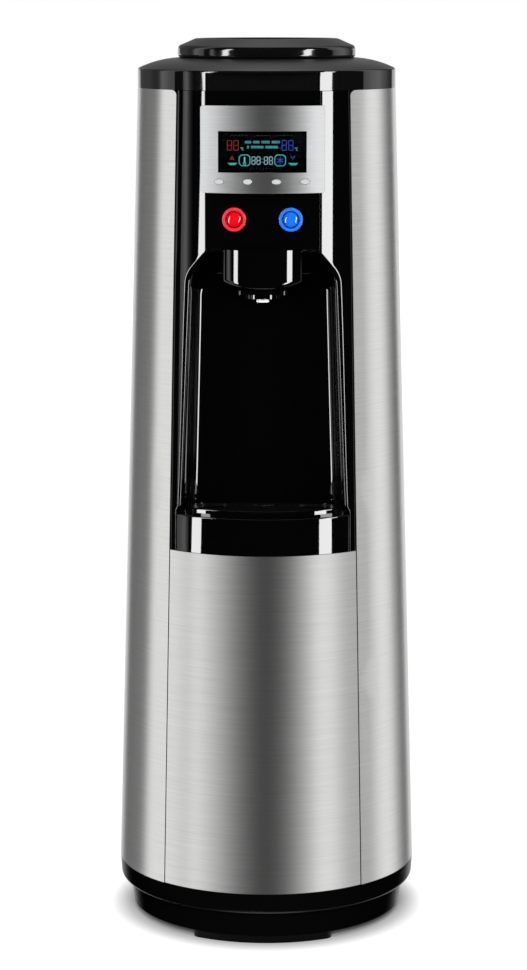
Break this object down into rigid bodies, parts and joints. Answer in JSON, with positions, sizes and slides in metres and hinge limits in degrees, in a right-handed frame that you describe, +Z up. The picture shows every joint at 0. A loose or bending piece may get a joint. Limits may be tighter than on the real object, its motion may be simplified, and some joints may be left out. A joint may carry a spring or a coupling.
{
  "type": "water cooler",
  "caption": "Free-standing top-loading water cooler: tapered round steel cabinet, black dispensing niche with spout and drip tray, curved control plate and hot and cold push buttons.",
  "frame": {"origin": "on the floor under the cabinet's axis", "axes": "+Z up, the dispensing niche faces -Y, +X to the right when the front is looked at along +Y"},
  "size_m": [0.34, 0.34, 0.9975],
  "materials": {
    "brushed_steel": "fine horizontal brushing, clear coat",
    "brushed_plate": "fine horizontal brushing",
    "silver_plastic": "silver lacquer",
    "black_gloss": "piano gloss",
    "black_satin": "satin moulded",
    "rubber": "moulded",
    "smoked_lens": "smoked acrylic",
    "board_green": "solder mask",
    "red_ring": "gloss moulded",
    "red_cap": "gloss moulded",
    "blue_ring": "gloss moulded",
    "blue_cap": "gloss moulded",
    "grey_plastic": "moulded",
    "white_plastic": "moulded",
    "galvanised": "galvanised sheet",
    "zinc": "zinc plated",
    "nylon_black": "moulded nylon",
    "black_enamel": "baked enamel",
    "copper": "drawn copper",
    "tank_steel": "rolled",
    "white_foam": "expanded foam",
    "silicone_hose": "extruded silicone",
    "coil_wrap": "taped winding"
  },
  "bodies": {
    "cabinet": {"back_panel": "galvanised", "back_screws": "zinc", "base_plate": "galvanised", "base_plinth": "black_satin", "bottle_collar": "black_gloss", "button_switches": "grey_plastic", "cold_button_bezel": "blue_ring", "cold_tank": "tank_steel", "cold_tank_insulation": "white_foam", "compressor": "black_enamel", "compressor_mounts": "rubber", "condenser_tube": "black_enamel", "condenser_wires": "black_enamel", "control_bezel": "black_gloss", "control_column": "black_gloss", "control_plate": "brushed_plate", "dispensing_manifold": "grey_plastic", "display_board": "board_green", "display_lens": "smoked_lens", "drain_plug": "grey_plastic", "evaporator_wrap": "copper", "filter_drier": "copper", "front_foot": "rubber", "hot_button_bezel": "red_ring", "hot_tank": "tank_steel", "hot_tank_insulation": "white_foam", "left_cheek": "black_gloss", "left_side_panel": "brushed_steel", "mains_gland": "black_satin", "mid_deck": "galvanised", "niche_liner": "black_gloss", "nozzle_holder": "black_gloss", "nozzle_tip": "silicone_hose", "panel_crossbars": "galvanised", "power_board": "board_green", "rear_feet": "rubber", "refrigerant_pipes": "copper", "right_cheek": "black_gloss", "right_side_panel": "brushed_steel", "rocker_housings": "black_satin", "shelf": "black_gloss", "spout_hood": "black_gloss", "top_cover": "black_gloss", "upper_deck": "galvanised", "valve_coils": "coil_wrap", "water_hoses": "silicone_hose"},
    "bottle_guard": {"bottle_guard": "white_plastic"},
    "front_panel": {"lower_front_panel": "brushed_steel", "panel_studs": "nylon_black"},
    "drip_tray": {"drip_tray": "black_gloss"},
    "drip_grille": {"drip_grille": "black_satin"},
    "hot_button": {"hot_button": "red_cap"},
    "cold_button": {"cold_button": "blue_cap"},
    "menu_button_1": {"menu_button_1": "silver_plastic"},
    "menu_button_2": {"menu_button_2": "silver_plastic"},
    "menu_button_3": {"menu_button_3": "silver_plastic"},
    "menu_button_4": {"menu_button_4": "silver_plastic"},
    "hot_rocker": {"hot_rocker": "red_cap"},
    "cold_rocker": {"cold_rocker": "blue_cap"}
  },
  "joints": [
    {"name": "bottle_guard_lift", "type": "slide", "parent": "cabinet", "child": "bottle_guard", "axis": [0, 0, 1], "range_m": [0, 0.06]},
    {"name": "front_panel_pull", "type": "slide", "parent": "cabinet", "child": "front_panel", "axis": [0, -1, 0], "range_m": [0, 0.12]},
    {"name": "drip_tray_lift", "type": "slide", "parent": "cabinet", "child": "drip_tray", "axis": [0, 0, 1], "range_m": [0, 0.06]},
    {"name": "drip_grille_lift", "type": "slide", "parent": "drip_tray", "child": "drip_grille", "axis": [0, 0, 1], "range_m": [0, 0.04]},
    {"name": "hot_button_press", "type": "slide", "parent": "cabinet", "child": "hot_button", "axis": [0, 0.9995, -0.033], "range_m": [0, 0.004], "stiffness_N_per_m": 300},
    {"name": "cold_button_press", "type": "slide", "parent": "cabinet", "child": "cold_button", "axis": [0, 0.9995, -0.033], "range_m": [0, 0.004], "stiffness_N_per_m": 300},
    {"name": "menu_button_1_press", "type": "slide", "parent": "cabinet", "child": "menu_button_1", "axis": [0, 0.9995, -0.033], "range_m": [0, 0.0012], "stiffness_N_per_m": 800},
    {"name": "menu_button_2_press", "type": "slide", "parent": "cabinet", "child": "menu_button_2", "axis": [0, 0.9995, -0.033], "range_m": [0, 0.0012], "stiffness_N_per_m": 800},
    {"name": "menu_button_3_press", "type": "slide", "parent": "cabinet", "child": "menu_button_3", "axis": [0, 0.9995, -0.033], "range_m": [0, 0.0012], "stiffness_N_per_m": 800},
    {"name": "menu_button_4_press", "type": "slide", "parent": "cabinet", "child": "menu_button_4", "axis": [0, 0.9995, -0.033], "range_m": [0, 0.0012], "stiffness_N_per_m": 800},
    {"name": "hot_rocker_tilt", "type": "hinge", "parent": "cabinet", "child": "hot_rocker", "pos_m": [-0.022, 0.109, 0.36], "axis": [-1, 0, 0], "range_deg": [0, 24]},
    {"name": "cold_rocker_tilt", "type": "hinge", "parent": "cabinet", "child": "cold_rocker", "pos_m": [0.022, 0.109, 0.36], "axis": [-1, 0, 0], "range_deg": [0, 24]}
  ]
}
